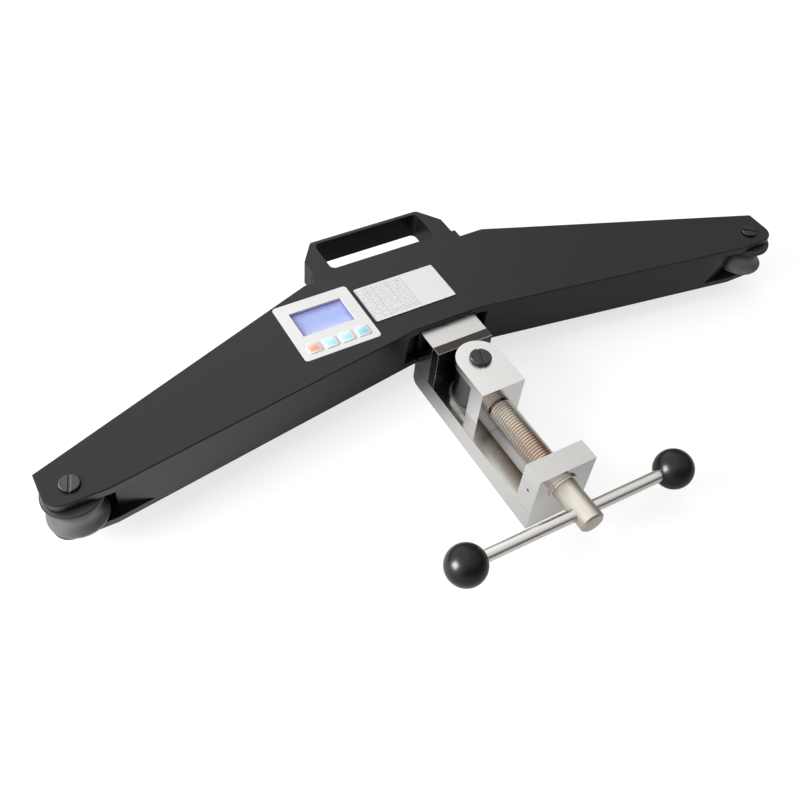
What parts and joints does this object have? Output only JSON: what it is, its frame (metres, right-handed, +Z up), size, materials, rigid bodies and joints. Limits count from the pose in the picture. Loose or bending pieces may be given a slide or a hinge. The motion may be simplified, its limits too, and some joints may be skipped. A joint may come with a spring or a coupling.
{
  "type": "wire rope tension meter",
  "caption": "Chevron-shaped wire rope tension meter with grooved end sheaves, a screw clamp with a roller yoke, a digital display with keys and a rear carrying handle.",
  "frame": {"origin": "middle of the flat underside that the clamp frame stands on", "axes": "+X along the body to the right, +Y towards the carrying handle, +Z up through the display"},
  "size_m": [0.684, 0.3563, 0.0682],
  "materials": {
    "black_paint": "satin",
    "handle_plastic": "satin",
    "nickel": "satin nickel",
    "bright_steel": "ground",
    "sheave_steel": "turned, satin",
    "fastener_steel": "zinc plated",
    "bronze": "sintered",
    "pad_rubber": "matt",
    "knob_black": "glossy",
    "cell_aluminium": "milled",
    "panel_white": "satin",
    "lens_clear": "clear",
    "screen": "liquid crystal",
    "key_orange": "satin",
    "key_cyan": "satin",
    "board_green": "solder mask",
    "black_plastic": "moulded",
    "battery_wrap": "film",
    "label_white": "printed foil"
  },
  "bodies": {
    "base": {"housing": "black_paint", "bottom_plate": "black_paint", "plate_screws": "fastener_steel", "axle_screws": "fastener_steel", "thrust_washers": "bronze", "carry_handle": "handle_plastic", "handle_screws": "fastener_steel", "load_cell": "cell_aluminium", "cell_screws": "fastener_steel", "clamp_frame": "nickel", "clamp_bolts": "fastener_steel", "pressure_pad": "pad_rubber", "pad_screws": "fastener_steel", "thread_bush": "nickel", "bush_set_screw": "fastener_steel", "display_bezel": "panel_white", "display_lens": "lens_clear", "lcd_module": "screen", "circuit_board": "board_green", "tact_switches": "black_plastic", "board_spacers": "bronze", "board_screws": "fastener_steel", "battery_holder": "black_plastic", "battery_cells": "battery_wrap", "label_plate": "label_white"},
    "left_sheave": {"sheave_left": "sheave_steel", "sheave_bush_left": "bronze"},
    "right_sheave": {"sheave_right": "sheave_steel", "sheave_bush_right": "bronze"},
    "yoke_slider": {"yoke": "nickel", "roller_pin": "fastener_steel", "retaining_pins": "fastener_steel"},
    "roller_wheel": {"roller": "bright_steel", "roller_bush": "bronze"},
    "screw": {"lead_screw": "bright_steel"},
    "bar": {"tommy_bar": "bright_steel", "ball_knob_left": "knob_black", "ball_knob_right": "knob_black"},
    "power_button": {"key_power": "key_orange"},
    "zero_button": {"key_zero": "key_cyan"},
    "unit_button": {"key_unit": "key_cyan"},
    "hold_button": {"key_hold": "key_cyan"}
  },
  "joints": [
    {"name": "left_sheave_spin", "type": "hinge", "parent": "base", "child": "left_sheave", "pos_m": [-0.32, 0.062, 0.0445], "axis": [0, 0, 1], "continuous": true},
    {"name": "right_sheave_spin", "type": "hinge", "parent": "base", "child": "right_sheave", "pos_m": [0.32, 0.062, 0.0445], "axis": [0, 0, 1], "continuous": true},
    {"name": "yoke_slide", "type": "slide", "parent": "base", "child": "yoke_slider", "axis": [0, -1, 0], "range_m": [0, 0.062]},
    {"name": "roller_spin", "type": "hinge", "parent": "yoke_slider", "child": "roller_wheel", "pos_m": [0, 0.038, 0.0402], "axis": [0, 0, 1], "continuous": true},
    {"name": "screw_turn", "type": "hinge", "parent": "yoke_slider", "child": "screw", "pos_m": [0, -0.05, 0.04], "axis": [0, -1, 0], "range_deg": [0, 8920]},
    {"name": "bar_slide", "type": "slide", "parent": "screw", "child": "bar", "axis": [0.9994, 0, -0.0349], "range_m": [-0.064, 0.078]},
    {"name": "power_press", "type": "slide", "parent": "base", "child": "power_button", "axis": [0, 0, -1], "range_m": [0, 0.0006], "stiffness_N_per_m": 1500, "springref_m": -0.0004},
    {"name": "zero_press", "type": "slide", "parent": "base", "child": "zero_button", "axis": [0, 0, -1], "range_m": [0, 0.0006], "stiffness_N_per_m": 1500, "springref_m": -0.0004},
    {"name": "unit_press", "type": "slide", "parent": "base", "child": "unit_button", "axis": [0, 0, -1], "range_m": [0, 0.0006], "stiffness_N_per_m": 1500, "springref_m": -0.0004},
    {"name": "hold_press", "type": "slide", "parent": "base", "child": "hold_button", "axis": [0, 0, -1], "range_m": [0, 0.0006], "stiffness_N_per_m": 1500, "springref_m": -0.0004}
  ],
  "couplings": [
    {"joint": "yoke_slide", "follows": "screw_turn", "m_per_rad": 0.00039789}
  ]
}
